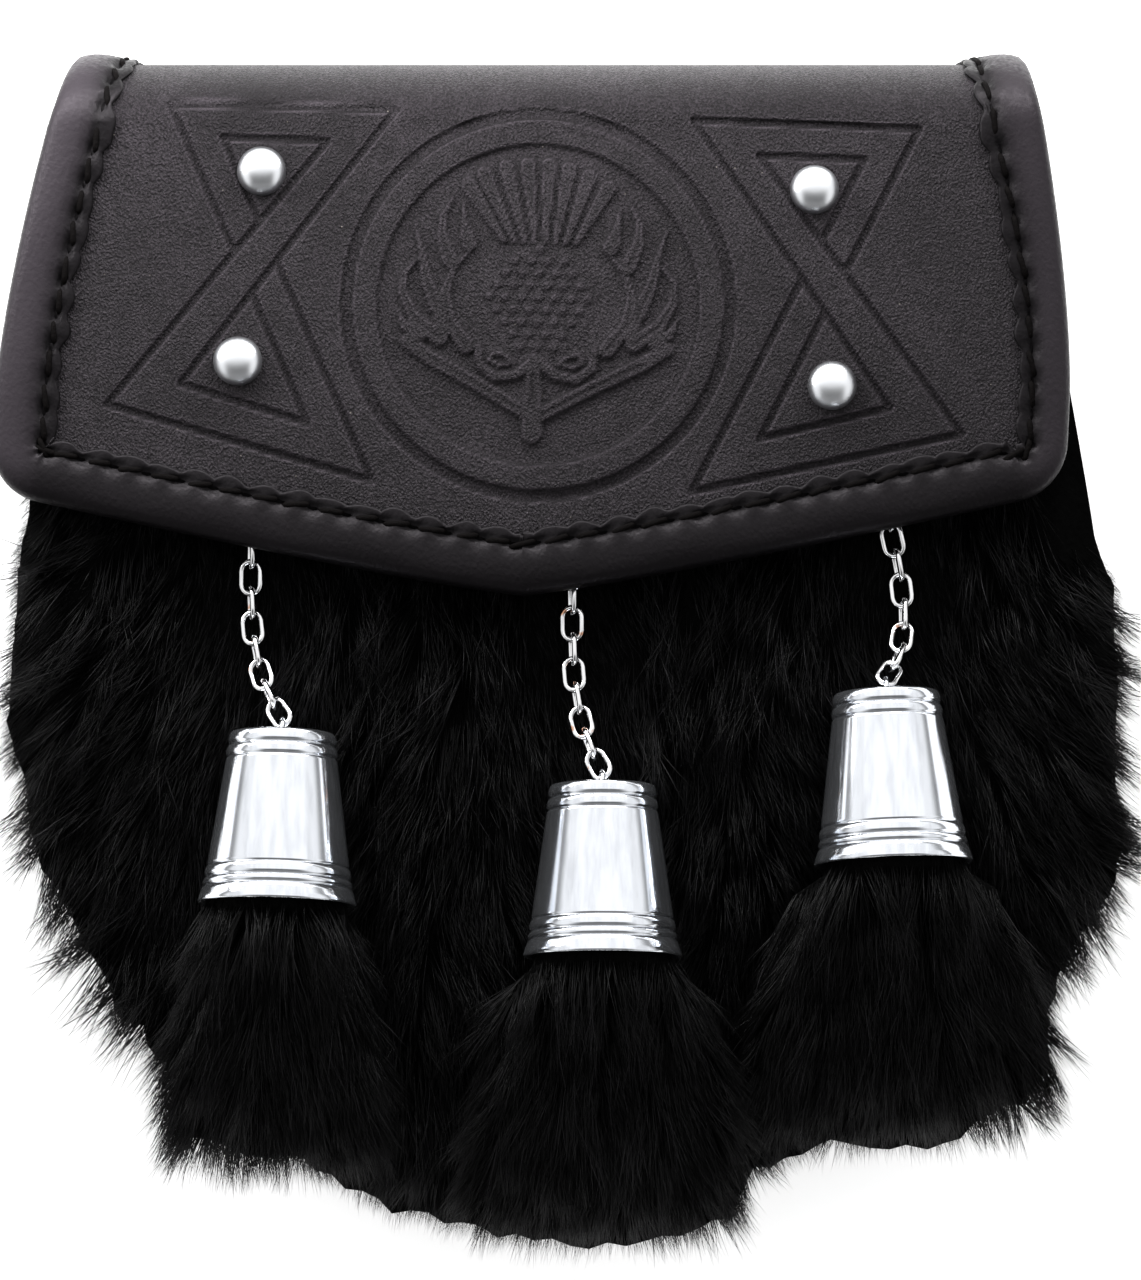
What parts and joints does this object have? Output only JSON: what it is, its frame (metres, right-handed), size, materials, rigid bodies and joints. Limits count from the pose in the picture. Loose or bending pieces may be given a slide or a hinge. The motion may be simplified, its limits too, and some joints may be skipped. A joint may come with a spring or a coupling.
{
  "type": "sporran pouch",
  "caption": "Leather pouch with a long-haired front, a bound and studded cover flap, and fur tassels in metal bells on short chains.",
  "frame": {"origin": "on the surface that the pouch lies on, under the middle of its box", "axes": "+X to the right of the front, +Y towards the pouch's top, +Z out of the front"},
  "size_m": [0.205, 0.2134, 0.0692],
  "materials": {
    "flap_leather": "satin, embossed",
    "binding_leather": "smooth satin",
    "pouch_leather": "matt",
    "fur": "long hair",
    "chrome": "polished",
    "stud_metal": "satin"
  },
  "bodies": {
    "root": {"back_panel": "pouch_leather", "gusset": "pouch_leather", "front_panel": "pouch_leather", "belt_loop_left": "pouch_leather", "belt_loop_right": "pouch_leather", "fur_front": "fur", "flap": "flap_leather", "flap_binding": "binding_leather", "stud_upper_left": "stud_metal", "stud_lower_left": "stud_metal", "stud_upper_right": "stud_metal", "stud_lower_right": "stud_metal", "flap_snap": "chrome", "chain_hanger_left": "chrome", "cone_left": "chrome", "tassel_left": "fur", "chain_hanger_centre": "chrome", "cone_centre": "chrome", "tassel_centre": "fur", "chain_hanger_right": "chrome", "cone_right": "chrome", "tassel_right": "fur", "link_left_01": "chrome", "link_left_02": "chrome", "link_left_03": "chrome", "link_left_04": "chrome", "link_left_05": "chrome", "link_left_06": "chrome", "link_left_07": "chrome", "link_left_08": "chrome", "link_left_09": "chrome", "link_left_10": "chrome", "link_centre_01": "chrome", "link_centre_02": "chrome", "link_centre_03": "chrome", "link_centre_04": "chrome", "link_centre_05": "chrome", "link_centre_06": "chrome", "link_centre_07": "chrome", "link_centre_08": "chrome", "link_centre_09": "chrome", "link_centre_10": "chrome", "link_right_01": "chrome", "link_right_02": "chrome", "link_right_03": "chrome", "link_right_04": "chrome", "link_right_05": "chrome", "link_right_06": "chrome", "link_right_07": "chrome", "link_right_08": "chrome"}
  },
  "joints": []
}
